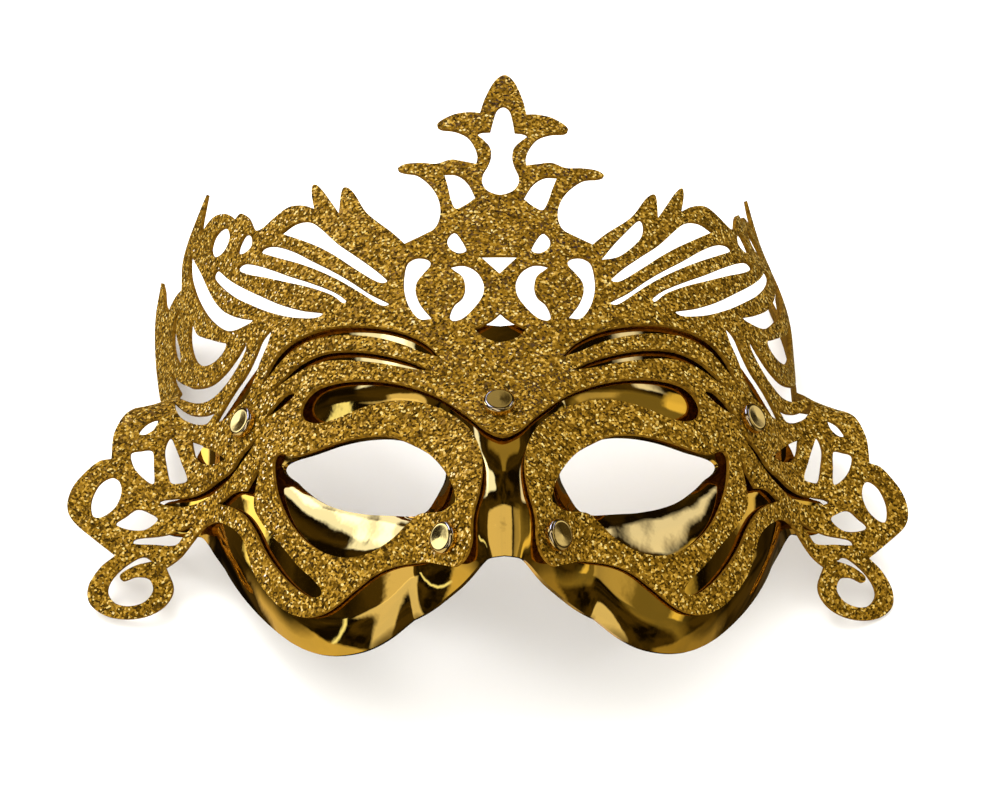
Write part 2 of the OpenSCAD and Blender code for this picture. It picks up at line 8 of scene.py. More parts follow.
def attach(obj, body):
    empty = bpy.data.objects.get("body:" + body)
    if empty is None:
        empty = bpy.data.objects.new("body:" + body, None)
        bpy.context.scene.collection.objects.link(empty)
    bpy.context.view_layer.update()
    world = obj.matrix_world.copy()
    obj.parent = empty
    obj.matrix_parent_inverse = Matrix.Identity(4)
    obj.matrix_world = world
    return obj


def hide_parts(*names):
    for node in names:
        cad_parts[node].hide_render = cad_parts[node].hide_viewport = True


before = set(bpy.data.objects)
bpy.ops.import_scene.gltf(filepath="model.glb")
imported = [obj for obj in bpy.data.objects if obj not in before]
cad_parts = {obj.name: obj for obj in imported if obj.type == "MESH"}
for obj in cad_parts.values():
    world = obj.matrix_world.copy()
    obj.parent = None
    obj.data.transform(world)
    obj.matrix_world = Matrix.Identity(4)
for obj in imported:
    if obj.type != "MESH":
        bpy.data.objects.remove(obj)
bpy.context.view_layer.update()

MM = 0.001
# Edges between faces that turn by more than this stay sharp
sharp_from, shell_sharp_from = 40, 45

# ---- camera: a long lens looking down on the mask as it lies on its back ----

look_at, camera_distance = Vector((0.0013, -0.0143, 0.0448)), 0.8
right = Vector((0.9993, -0.0169, 0.0324)).normalized()
back = Vector((-0.0349, -0.7005, 0.7128))
back = (back - right * back.dot(right)).normalized()
up = back.cross(right)
lens = bpy.data.cameras.new("camera")
lens.lens = 119.5
lens.sensor_width = 36
lens.shift_x = -0.0005
lens.shift_y = 0.014
lens.clip_start = 0.05
camera = bpy.data.objects.new("camera", lens)
facing = Matrix((right, up, back)).transposed().to_4x4()
camera.matrix_world = Matrix.Translation(look_at + back * camera_distance) @ facing
bpy.context.scene.collection.objects.link(camera)
bpy.context.scene.camera = camera

# ---- the curved surface that both layers follow ----
# Lengths are in millimetres and angles in degrees. a is across from the middle line and v is up from
# the middle of the brow, both measured along the sheet.

wing_turn, wing_turn_max, turn_power, turn_ref = 84, 76, 1.12, 115
side_splay, scroll_flare, flare_start, flare_run = 9, 58, 79, 22
crown_slope, cheek_slope, crown_lean = 14, 6, 2.5
nose_h, nose_top, nose_foot = 11, 3.5, 22
rest_pitch, rest_roll = 23.5, -1.3
shell_t, sheet_t, layer_gap, socket_dip, ridge_h = 1.1, 1, 0.6, 3.5, 0.9
edge_roll, edge_roll_w, brow_dip = 3, 9, 2.4
cap_d, cap_h, cap_round, shank_d, back_cap_d, cap_off, back_cap_t = 7.6, 2.1, 0.9, 3, 7, 0.45, 1.4
strap_hole, strap_hole_d = (81.2, -12.2), 3.5
# Where the rivets sit, a little to the wearer's right of the middle
rivets = {"forehead": (-0.7, -2), "temple_left": (66.3, 4.5), "temple_right": (-67.7, 4.5),
          "nose_left": (11.3, -35.1), "nose_right": (-12.7, -35.1)}
shank_clear, sheet_hole_r = 0.1, 1.7
# The upper part of the wearer's left wing is bent back by up to this
wing_close = 20

# Where one stretch of the surface passes into the next, as (from, to), up or across
splay_across, flare_fade_up, slope_up, nose_up = (60, turn_ref), (16, 27), (-30, 15), (-30, 8)
close_up, close_across, close_fade_across = (44, 84), (52, 68), (74, 92)
lean_up, lean_fade_across, lean_pivot = (35, 75), (30, 60), 50
# The same for the shell's own shape; the socket dips over this share of the way from the eye hole
ridge_fade_up, ridge_w, socket_share = (-22, -12), 6, 0.38
roll_fade_up, roll_across = (-30, -8), (2, 14)
brow_up, brow_fade_up, brow_across, brow_fade_across = (-14, -3), (-3, 13), (6, 20), (50, 62)


def ease(low, high, x):
    """A smooth step: 0 up to low, 1 from high on, and 3t^2 - 2t^3 between."""
    t = np.clip((np.asarray(x, float) - low) / (high - low), 0, 1)
    return t * t * (3 - 2 * t)


def face(u, v):
    """The surface as (x, y, z). Across, the sheet's direction turns backwards with distance, so x and the
    fall are the means of the cosine and sine of the turn along the way; up, the same with the slope."""
    u, v = np.broadcast_arrays(np.asarray(u, float), np.asarray(v, float))
    share = (np.arange(16) + 0.5) / 16
    a, side = np.abs(u), np.sign(u)[..., None]
    ak, vk = a[..., None] * share, v[..., None]
    bend = wing_close * ease(*close_up, vk) * ease(*close_across, ak) * (1 - ease(*close_fade_across, ak))
    turn = (np.minimum(wing_turn * (ak / turn_ref) ** turn_power, wing_turn_max)
            + side * side_splay * ease(*splay_across, ak)
            + (side > 0) * bend
            - scroll_flare * (1 - ease(*flare_fade_up, vk)) * ease(flare_start, flare_start + flare_run, ak))
    slope = -cheek_slope + (crown_slope + cheek_slope) * ease(*slope_up, vk * share)
    turn, slope = np.radians(turn), np.radians(slope)
    nose = nose_h * (1 - ease(*nose_up, v)) * (1 - ease(nose_top, nose_foot, a))
    return np.stack([u * np.cos(turn).mean(-1), v * np.cos(slope).mean(-1),
                     nose - a * np.sin(turn).mean(-1) - v * np.sin(slope).mean(-1)], -1)


def unit(p):
    """Vectors brought to a length of 1."""
    return p / np.linalg.norm(p, axis=-1, keepdims=True)


def normal(u, v, h=0.25):
    """The outward normal: the cross product of the surface's steps across and up."""
    return unit(np.cross(face(u + h, v) - face(u - h, v), face(u, v + h) - face(u, v - h)))


def lean(u, v):
    """Turns the middle of the crown a little to one side, within the sheet."""
    turn = np.radians(crown_lean) * ease(*lean_up, v) * (1 - ease(*lean_fade_across, np.abs(u)))
    return u * np.cos(turn) + (v - lean_pivot) * np.sin(turn), v - u * np.sin(turn)


def on_table(p):
    """Tips the mask towards its chin about X, then rolls it about Y."""
    a, b = np.radians(rest_pitch), np.radians(rest_roll)
    y = p[..., 1] * np.cos(a) - p[..., 2] * np.sin(a)
    z = p[..., 1] * np.sin(a) + p[..., 2] * np.cos(a)
    return np.stack([p[..., 0] * np.cos(b) + z * np.sin(b), y, z * np.cos(b) - p[..., 0] * np.sin(b)], -1)


def place(u, v, lift):
    """A point lift millimetres out from the surface at (u, v), on the table, before the offset is added."""
    return on_table(face(u, v) + np.asarray(lift, float)[..., None] * normal(u, v))


# ---- outlines: points listed one by one, where a third value of 1 makes a corner ----

# Half of the sheet's outer edge, from the tip of the crown round to the point over the nose
edge = [
    [2.6, 98.2], [4.8, 92.5], [5.8, 88, 1], [8.5, 88.2], [12, 87.6], [15.2, 85.8], [16.4, 84.2],
    [15.2, 83], [12, 82.4], [8.8, 80.6], [6.8, 77.3], [6, 74], [6.2, 71.6, 1], [9, 72.3], [12.5, 73],
    [16, 71.8], [20, 72.3], [24, 72.2], [25.8, 70.9], [24.2, 69.8], [20.8, 68.8], [17.8, 66],
    [15.6, 62.5], [14.5, 58.5], [14.5, 55], [15.6, 52], [18, 50.4], [23, 48, 1], [26.5, 52],
    [33, 58.5], [37, 65.5], [39.4, 67.6], [40.3, 65.8], [40.6, 60, 1], [43.5, 65], [46.5, 70],
    [48.3, 71.2], [48.6, 68.5], [47.7, 63.6, 1], [51, 65.8], [55.5, 67], [60, 65.4], [64.5, 63.4],
    [67.5, 64.3], [70, 69], [73, 71.6], [75.5, 70.6, 1], [79.5, 74.2], [85, 75.8], [89.5, 74.8],
    [93, 72.4, 1], [92.4, 77.5], [90, 85.3, 1], [96, 79.2], [101.5, 73.8], [104.6, 68.5],
    [104.2, 60.3, 1], [108.5, 60.5], [112.3, 59.2], [115, 57.6, 1], [118.6, 62], [120, 67],
    [122.3, 71, 1], [125.6, 63], [125.6, 54], [123.6, 45.5], [120.8, 38], [117.5, 30.5], [112, 24.5],
    [107.3, 20.6], [106.2, 18], [108.4, 14.6], [110, 10], [110.2, 3.3, 1], [113.5, 2.7], [117, -0.5],
    [119.8, -4.5], [120.8, -9], [119.2, -13], [114, -17.8], [108.3, -22.5, 1], [112, -25.3],
    [114.8, -29.5], [114.6, -33.8], [111, -37], [105.5, -38.4], [100, -37.9], [95.6, -35.4],
    [93.7, -31.5], [95.6, -26.2, 1], [92, -24], [88.5, -20.6], [85.4, -18.2], [81.5, -17.6],
    [77, -18.8], [72, -21.5], [68.4, -25], [66.3, -29.5], [63.8, -35], [59.8, -40.2], [55, -44.8],
    [50.2, -47.5], [45.5, -48.2], [41, -47], [35.5, -43.6], [30, -40.3], [24.5, -38.8], [18.5, -38.8],
    [14, -40.8], [11.2, -42.1], [8.8, -40.6], [7.5, -37.2], [7.2, -31.5], [5.6, -25.5], [4.8, -19.5],
    [5.4, -14], [7.3, -9], [10.2, -5], [14, -1.8], [18.5, 0.6], [24, 1.9], [29.5, 1.9], [35, 0.8],
    [40, -0.6], [45, -1], [48.7, 0.6], [50.1, 3.4], [48.9, 6.6], [45.6, 9], [40, 9.7], [33, 9],
    [26, 7.3], [20, 4.9], [15, 2.1], [11, -1.3], [7.6, -4.8], [4.2, -8.6],
]
tip = [0, 100.6]
point = [0, -10.8]

# Openings across the middle line: one half of each
keyhole = [[0, 90.6], [1.5, 89.4], [2.3, 86.5], [3, 82.3, 1], [5.4, 82], [6.2, 81], [4.6, 79.2],
    [3, 77], [2.6, 74.3], [3.3, 71.4], [4.4, 68.6], [4.4, 65.6], [3, 63.2], [0, 62]]
triangle = [[0, 43.2, 1], [4.8, 43.2, 1], [0, 37.7, 1]]
spade = [[0, 26, 1], [2.2, 23.8], [6.3, 21.2, 1], [3.6, 18.4], [0, 17.2]]

# Openings of one half; the other half has the same ones mirrored
petal = [[14, 68.8, 1], [10.8, 68.4], [8, 65.8], [5.8, 61, 1], [8.2, 58.8], [10.6, 57.7], [11.9, 60.6],
    [12.8, 64.5]]
bead = [[10.8, 50.8], [12.5, 48.8], [12, 45.8], [9.8, 44.1], [7.9, 44.9], [8.9, 48]]
outer_comma = [[19.8, 43.8], [17.2, 42.9], [16.7, 40.8], [18.3, 38.6], [20, 36], [20.3, 33],
    [19.2, 29.5], [16.2, 24.8, 1], [19.4, 25], [21.9, 29], [23.3, 34.5], [23.1, 39.8], [22.2, 42.7]]
inner_comma = [[11.8, 40.3], [8.4, 40.7], [5.4, 38.6], [3.9, 35], [4.2, 31], [6.4, 27.2], [9, 24.4],
    [11.4, 23.8], [12.1, 25.6], [11, 28.8], [9, 31], [8.3, 34], [9, 37], [11, 39]]
plume_1 = [[27.6, 38], [31, 42], [36, 46.8], [41, 51.5], [46, 57.4], [49.3, 60.4], [53.5, 61.2],
    [58, 59.7, 1], [51, 55], [46, 51.5], [41, 47.4], [35.5, 42.3], [30.5, 38], [28.2, 37]]
plume_2 = [[27, 30.8], [32, 34.6], [37, 39.2], [42, 43.4], [48, 48], [54, 52.8], [59.5, 56.2],
    [63.4, 57.2], [64.6, 56], [59, 52.4], [52.5, 48.6], [46, 44.4], [40, 40], [34.5, 35.3], [29, 30.4]]
plume_3 = [[38.2, 33.6], [41.5, 37], [48, 41.3], [55, 45.5], [61, 49.4], [67, 53], [71.6, 55],
    [73.6, 54], [69, 50.6], [62, 47], [55, 43.3], [48, 39.7], [42, 36], [38.9, 32.9]]
plume_4 = [[44.7, 31.4], [51, 33.9], [58, 37.8], [65, 42.7], [71.5, 47.4], [77, 51.9], [81, 55.8],
    [83.6, 57.6], [84.8, 56], [81.3, 51.8], [75, 46], [68.5, 41.2], [61.5, 36.4], [54.5, 32.6],
    [48.5, 30.5], [45.4, 30.2]]
plume_5 = [[98.9, 69.2], [95.2, 65], [91, 59.4], [87.5, 53.8], [83, 47.2], [77.8, 41.8], [72, 38.2],
    [66.7, 35.5], [70.5, 34.7], [75.5, 35.3], [80.5, 38.4], [86, 43.4], [91, 49.4], [95.5, 56.2],
    [98.7, 63]]
plume_6 = [[96, 46.4], [91.8, 40.6], [86, 37], [81, 34.2], [77.1, 32], [78.4, 29.6], [82.5, 28.2],
    [87.5, 29.1], [92.5, 32.6], [95.9, 38.2], [97, 43]]
sliver = [[105.3, 54.2], [108.7, 53.4], [110.1, 49.6], [109.6, 44.5], [107, 39.8], [101.2, 34.6, 1],
    [103.2, 40.8], [106.6, 46.6], [107.4, 51]]
plume_7 = [[69.4, 29.6], [68.9, 27.2], [71.6, 23.3], [76, 19.5], [81.5, 17.3], [87.5, 17.3],
    [93, 19.7], [98.5, 23.7], [103.5, 28.2], [107.5, 32.6], [109.6, 36.4, 1], [104, 31.4], [98, 27.3],
    [91, 23.6], [84, 21.9], [77.5, 23.3], [72.5, 26.6]]
temple_window = [[60, 30.6], [63.2, 28.6], [65.8, 24], [69, 19.6], [74, 15.5], [80.8, 9.4, 1],
    [76.5, 8.9], [72.4, 10.6], [68.5, 12], [65.8, 16], [63.6, 21.4], [61, 26.5]]
plume_8 = [[80.8, 12.8], [86, 13.3], [91, 15.2], [96, 20, 1], [93, 14.4], [89, 11.5], [84.6, 10.2],
    [82, 11.4]]
round_1 = [[82, 70.3], [85.4, 69], [86.8, 65.8], [85.2, 62.8], [82, 61.6], [78.9, 62.8], [77.4, 65.8],
    [78.8, 69]]
round_2 = [[71, 64], [73.2, 61.8], [73.8, 59.2], [71, 58], [68.2, 59.2], [68.4, 62.2]]
round_3 = [[98.9, 14.2], [101.6, 13.3], [103.6, 10.6], [102, 9.7], [99.7, 11.3]]
lobe_1 = [[95.6, 8.6], [96.8, 5.2], [96.2, 0.5], [95, -4.2], [92.4, -4.9], [90.3, -4.2], [92, 0.4],
    [93.8, 5]]
lobe_2 = [[99.9, 5], [103, 5.3], [105.4, 4.6], [104.3, 0.4], [101.8, -2.8], [99.2, -4.4], [99.3, 0]]
fin = [[89.6, 6.6, 1], [85.5, 4.2], [80.5, 1], [75.4, -2.8, 1], [80.5, -2.6], [85.6, -0.8], [88.4, 2]]
side_slot = [[62.6, 0.6, 1], [69, -2.8], [73.5, -6.3], [80, -7.6], [88, -8.8], [96.2, -8.7],
    [97.2, -9.8], [92, -11.2], [85, -11.1], [78, -10], [72.4, -7.9], [66.8, -3.8]]
cheek_slot = [[61.8, -5.8, 1], [64.4, -9.8], [67.6, -13.2, 1], [72.5, -12.3], [78, -13.7, 1],
    [72.5, -16.2], [68, -19.4], [64.2, -24.2], [61, -29.6], [56.5, -35.4], [51.5, -40.4],
    [46.6, -43.6], [43.8, -43.2], [45.6, -40], [50.4, -35.4], [54.6, -30.4], [59, -25.8],
    [62.4, -21.6], [64.4, -17.6], [63.4, -12]]
under_slot = [[87, -15.8, 1], [91.5, -17], [97, -18.1], [103, -18.5], [103.6, -19.8], [98.5, -20.3],
    [93.2, -20.8], [90.8, -18.8]]
diamond = [[97.9, -13.9], [100.4, -11.8], [103.3, -10.9], [106, -12.6], [108.4, -14.4], [105.2, -16.1],
    [101, -16.4]]
ring_1 = [[110, -1.8], [113, -3.6], [114.8, -8], [114.3, -11.9], [111.8, -12.4], [108.6, -10.1],
    [107.2, -6.4], [107.9, -3.2]]
ring_2 = [[99, -24.4, 1], [101.6, -23.2], [105.8, -25.3], [109, -28.4], [110, -31.6], [107.9, -34.4],
    [104.2, -35.3], [100.6, -34.3], [98.7, -31.6], [99.8, -28.8], [103, -28.1], [106.2, -28.9],
    [106.8, -27.2], [103.2, -25.3]]
brow_1 = [[14.4, 13.2, 1], [18, 17.8], [24, 21.8], [32, 24.6], [41, 26.2], [49, 25.8], [55, 23.9],
    [59.6, 20], [63.6, 13.2, 1], [59, 17.4], [54, 21.4], [47, 23.6], [39, 23.2], [31, 21.2],
    [24, 18.2], [18.6, 15]]
brow_2 = [[16.4, 9.4, 1], [22, 13], [29, 16], [36.5, 18.2], [44, 19], [50.5, 17.6], [55.5, 14.7],
    [60.4, 10.8, 1], [54.5, 13.5], [49, 15.7], [42.5, 16.3], [35, 14.8], [28, 12.8], [22, 10.7]]
brow_3 = [[52, 9], [54.4, 9.7], [58, 7.6], [61.6, 4.2, 1], [57, 5.4], [53.2, 7.4]]
eye = [
    [56.4, -6.3], [58.2, -8], [57.8, -13.5], [56, -19], [52.8, -24.8], [48.4, -29.8], [43, -33.6],
    [37, -35.6], [31, -35], [25.8, -32.2], [22, -28.8], [19, -27.2], [14, -28.2], [10.6, -27, 1],
    [11.6, -22.6], [13.6, -18], [16.8, -13.4], [21, -10], [26.5, -7.3], [33, -6.5], [40, -6.9],
    [47, -8], [52.5, -8.1],
]
pairs = [petal, bead, outer_comma, inner_comma, plume_1, plume_2, plume_3, plume_4, plume_5, plume_6, sliver,
    plume_7, temple_window, plume_8, round_1, round_2, round_3, lobe_1, lobe_2, fin, side_slot, cheek_slot,
    under_slot, diamond, ring_1, ring_2, brow_1, brow_2, brow_3, eye]
# One more plume, cut only on the wearer's left
extra_plume = [[25, 43.4, 1], [29.4, 45], [33.4, 49], [36.2, 53.4], [36.6, 57.2], [35.4, 58.4],
    [32, 54], [28.8, 49.4]]

# Outer edge of the shell and, at the same index, the point of the eye hole's edge that faces it
shell_edge = [
    [0, 23, 1], [8, 24], [17, 24.6], [27, 25.3], [37, 26.5], [47, 27], [56, 26], [63, 23.2],
    [69.5, 18.4], [76, 13], [82.5, 8.6], [87.8, 4], [89.9, -1.5], [90.6, -6.6], [92.8, -8.4],
    [96.4, -9.2], [98, -12.6], [96.6, -16.4], [92.4, -18], [88.6, -18.6], [86.6, -20.8], [84.2, -25],
    [80.2, -30.4], [75, -36], [69, -41.7], [62, -47.6], [55, -52.6], [48, -56], [41, -57.4], [34, -57],
    [28, -54.8], [22, -50.9], [16, -47], [10, -43.9], [4.5, -41.6], [0, -41, 1], [0, -33, 1],
    [0, -25, 1], [0, -16, 1], [0, -7, 1], [0, 3, 1], [0, 13, 1],
]
hole_edge = [
    [21.6, -6.8], [25.2, -5], [29, -3.9], [33.4, -3.4], [38, -3.3], [43, -3.6], [47.5, -4.2],
    [51, -4.7], [54.5, -5.3], [57, -5.9], [58.9, -6.7], [59.6, -7.6], [59.5, -8.5], [58.9, -9.5],
    [58.2, -10.2], [57.4, -10.9], [56.6, -11.5], [55.8, -12.1], [55, -12.8], [54.3, -13.5],
    [53.4, -14.4], [52.2, -15.5], [50.5, -16.9], [48.3, -18.6], [45.8, -20.2], [42.8, -21.7],
    [39.8, -22.9], [36.5, -23.9], [33.2, -24.7], [30, -25.2], [26.6, -25.7], [24.5, -26],
    [22.6, -26.2], [21, -26], [19.8, -25], [18.9, -23.5], [17.6, -21], [16.4, -18.4],
    [16, -15.8], [16.6, -13], [17.8, -10.4], [19.4, -8.4],
]


def run(points, steps):
    """A smooth closed curve through the points: a cubic between each two, with straight ends at corners."""
    p = np.array([q[:2] for q in points], float)
    sharp = np.array([len(q) == 3 for q in points])
    q = np.roll(p, -1, 0)
    smooth = (q - np.roll(p, 1, 0)) / 2
    t = (np.arange(steps) / steps)[None, :, None]
    leaving = np.where(sharp[:, None], q - p, smooth)
    arriving = np.where(np.roll(sharp, -1)[:, None], q - p, np.roll(smooth, -1, 0))
    curve = ((2 * t**3 - 3 * t**2 + 1) * p[:, None] + (t**3 - 2 * t**2 + t) * leaving[:, None]
             + (3 * t**2 - 2 * t**3) * q[:, None] + (t**3 - t**2) * arriving[:, None])
    return curve.reshape(-1, 2)


def mirrored(points):
    """The same points on the other side of the middle line, in reverse order."""
    return [[-q[0]] + list(q[1:]) for q in reversed(points)]


def flipped(points, side):
    """The points as they are for side 1, or on the other side for side -1, in the same order."""
    return [[side * q[0]] + list(q[1:]) for q in points]


def sheet_loops(steps=6):
    """Every closed outline of the cut sheet: its outer edge first, then the openings and rivet holes."""
    loops = [run([tip] + edge + [point] + mirrored(edge), steps)]
    loops += [run(flipped(h, s), steps) for h in pairs for s in (1, -1)]
    loops += [run(h + mirrored(h[1:-1]), steps) for h in (keyhole, triangle, spade)]
    loops.append(run(extra_plume, steps))
    ring = np.radians(np.arange(0, 360, 12))
    loops += [np.stack([a + sheet_hole_r * np.cos(ring), v + sheet_hole_r * np.sin(ring)], -1)
              for a, v in rivets.values()]
    return loops


def inside(p, loops):
    """Even-odd rule: a point is in the sheet if a ray from it crosses the outlines an odd number of times."""
    odd = np.zeros(len(p), bool)
    for loop in loops:
        a, b = loop, np.roll(loop, -1, 0)
        near = np.flatnonzero((p[:, 1] > loop[:, 1].min()) & (p[:, 1] < loop[:, 1].max())
                              & (p[:, 0] < loop[:, 0].max()))
        x, y = p[near, 0:1], p[near, 1:2]
        cross = (a[:, 1] > y) != (b[:, 1] > y)
        with np.errstate(divide="ignore", invalid="ignore"):
            at = a[:, 0] + (y - a[:, 1]) / (b[:, 1] - a[:, 1]) * (b[:, 0] - a[:, 0])
        odd[near] ^= (cross & (x < at)).sum(1) % 2 == 1
    return odd


def ring_faces(rows, count):
    """The four-sided faces between rows of count points, each row closed into a ring."""
    j, i = np.meshgrid(np.arange(rows - 1), np.arange(count), indexing="ij")
    after = (i + 1) % count
    corners = [j * count + i, j * count + after, (j + 1) * count + after, (j + 1) * count + i]
    return np.stack(corners, -1).reshape(-1, 4)


def mesh_object(name, points, faces, slots=None, materials=()):
    """Puts points in millimetres and faces into a new object, smooth but for edges over sharp_from."""
    mesh = bpy.data.meshes.new(name)
    mesh.from_pydata((np.asarray(points) * MM).tolist(), [], [list(map(int, f)) for f in faces])
    for m in materials:
        mesh.materials.append(m)
    if slots is not None:
        mesh.polygons.foreach_set("material_index", np.asarray(slots, np.int32))
    mesh.polygons.foreach_set("use_smooth", np.ones(len(mesh.polygons), bool))
    mesh.set_sharp_from_angle(angle=np.radians(sharp_from))
    mesh.update()
    obj = bpy.data.objects.new(name, mesh)
    bpy.context.scene.collection.objects.link(obj)
    return obj


def rounded(obj, width, segments=2, angle=sharp_from):
    """Breaks the sharp edges of a piece with a small round, width millimetres across."""
    bevel = obj.modifiers.new("edge", "BEVEL")
    bevel.width, bevel.segments = width * MM, segments
    bevel.limit_method, bevel.angle_limit = "ANGLE", np.radians(angle)
    bevel.harden_normals = True
    return obj


# ---- materials ----

def colour(code):
    """An sRGB hex value as linear red, green and blue, and an alpha of 1."""
    c = np.array([int(code[i:i + 2], 16) for i in (1, 3, 5)]) / 255
    return tuple(np.where(c <= 0.04045, c / 12.92, ((c + 0.055) / 1.055) ** 2.4)) + (1.0,)


def add(tree, kind, links=None, **settings):
    """Adds a node, sets its properties and unlinked sockets by name, and links sockets to other outputs."""
    node = tree.nodes.new(kind)
    sockets = settings.pop("sockets", {})
    for key, value in settings.items():
        setattr(node, key, value)
    for key, value in sockets.items():
        node.inputs[key].default_value = value
    for key, output in (links or {}).items():
        tree.links.new(output, node.inputs[key])
    return node


def new_material(name, base, **sockets):
    """A material with one Principled shader; returns it, its tree and the shader."""
    material = bpy.data.materials.new(name)
    material.use_nodes = True
    tree = material.node_tree
    shader = tree.nodes["Principled BSDF"]
    shader.inputs["Base Color"].default_value = colour(base)
    for key, value in sockets.items():
        shader.inputs[key.replace("_", " ")].default_value = value
    return material, tree, shader


def ramp(tree, fac, stops):
    """A colour ramp through (place, hex) stops."""
    node = add(tree, "ShaderNodeValToRGB", {"Fac": fac})
    while len(node.color_ramp.elements) < len(stops):
        node.color_ramp.elements.new(0.5)
    for element, (at, code) in zip(node.color_ramp.elements, stops):
        element.position = at
        element.color = colour(code)
    return node.outputs["Color"]


# Metallised ABS: vacuum-metallised and lacquered in gold, so a near mirror with a faint moulded waviness
metallised_abs, tree, shader = new_material(
    "metallised_abs", "#DAA734", Metallic=1.0, Roughness=0.04)
place_of = add(tree, "ShaderNodeTexCoord").outputs["Object"]
# Moulded waviness about 14 mm long and lacquer orange peel about 1.6 mm long
waves = add(tree, "ShaderNodeTexNoise", {"Vector": place_of}, sockets={"Scale": 70, "Detail": 1.0})
peel = add(tree, "ShaderNodeTexNoise", {"Vector": place_of}, sockets={"Scale": 620, "Detail": 1.0})
bump = add(tree, "ShaderNodeBump", {"Height": waves.outputs["Fac"]},
           sockets={"Strength": 0.35, "Distance": 0.0012})
bump = add(tree, "ShaderNodeBump", {"Height": peel.outputs["Fac"], "Normal": bump.outputs["Normal"]},
           sockets={"Strength": 0.05, "Distance": 0.0002})
tree.links.new(bump.outputs["Normal"], shader.inputs["Normal"])

# Glitter: foil flakes about 0.5 mm wide set at odd angles in a clear binder over gold film
glitter, tree, shader = new_material(
    "gold_glitter", "#B98C3C", Metallic=0.5, Roughness=0.35, Specular_IOR_Level=0.0)
place_of = add(tree, "ShaderNodeTexCoord").outputs["Object"]
flakes = add(tree, "ShaderNodeTexVoronoi", {"Vector": place_of}, sockets={"Scale": 2000, "Randomness": 1.0})
tone = add(tree, "ShaderNodeSeparateColor", {"Color": flakes.outputs["Color"]})
shade = ramp(tree, tone.outputs["Red"], [
    (0, "#291B03"), (0.45, "#6A4B0C"), (0.8, "#A67C22"), (0.93, "#DFB148"), (1, "#FFE690")])
tree.links.new(shade, shader.inputs["Base Color"])
# Each flake is tipped by up to about 30 degrees in its own direction
tilt = add(tree, "ShaderNodeVectorMath", {0: flakes.outputs["Color"]}, operation="SUBTRACT")
tilt.inputs[1].default_value = (0.5, 0.5, 0.5)
tilt = add(tree, "ShaderNodeVectorMath", {0: tilt.outputs[0]}, operation="SCALE", sockets={"Scale": 1.1})
outward = add(tree, "ShaderNodeNewGeometry").outputs["Normal"]
tipped = add(tree, "ShaderNodeVectorMath", {0: tilt.outputs[0], 1: outward}, operation="ADD")
tipped = add(tree, "ShaderNodeVectorMath", {0: tipped.outputs[0]}, operation="NORMALIZE")
tree.links.new(tipped.outputs[0], shader.inputs["Normal"])

# Gold film: the cut edge and the plain back of the sheet, satin
gold_film, tree, shader = new_material(
    "gold_film", "#6B4A12", Metallic=0.2, Roughness=0.5, Specular_IOR_Level=0.0)
place_of = add(tree, "ShaderNodeTexCoord").outputs["Object"]
grain = add(tree, "ShaderNodeTexNoise", {"Vector": place_of}, sockets={"Scale": 900, "Detail": 2.0})
shade = ramp(tree, grain.outputs["Fac"], [(0.3, "#4A3006"), (0.7, "#7E5A16")])
tree.links.new(shade, shader.inputs["Base Color"])

# Polished brass: pressed rivet caps, a soft mirror with fine rubbing about 2 mm long
polished_brass, tree, shader = new_material("polished_brass", "#E2BC62", Metallic=1.0, Roughness=0.09)
place_of = add(tree, "ShaderNodeTexCoord").outputs["Object"]
rub = add(tree, "ShaderNodeTexNoise", {"Vector": place_of}, sockets={"Scale": 450, "Detail": 3.0})
bump = add(tree, "ShaderNodeBump", {"Height": rub.outputs["Fac"]},
           sockets={"Strength": 0.12, "Distance": 0.0002})
tree.links.new(bump.outputs["Normal"], shader.inputs["Normal"])

# ---- the filigree sheet ----

# Inner points of the sheet lie this far apart, and the square of their distance from an outline is more
# than the second value; triangles under the last area are dropped
grid_step, outline_clear, least_area = 2.1, 0.55, 1e-7


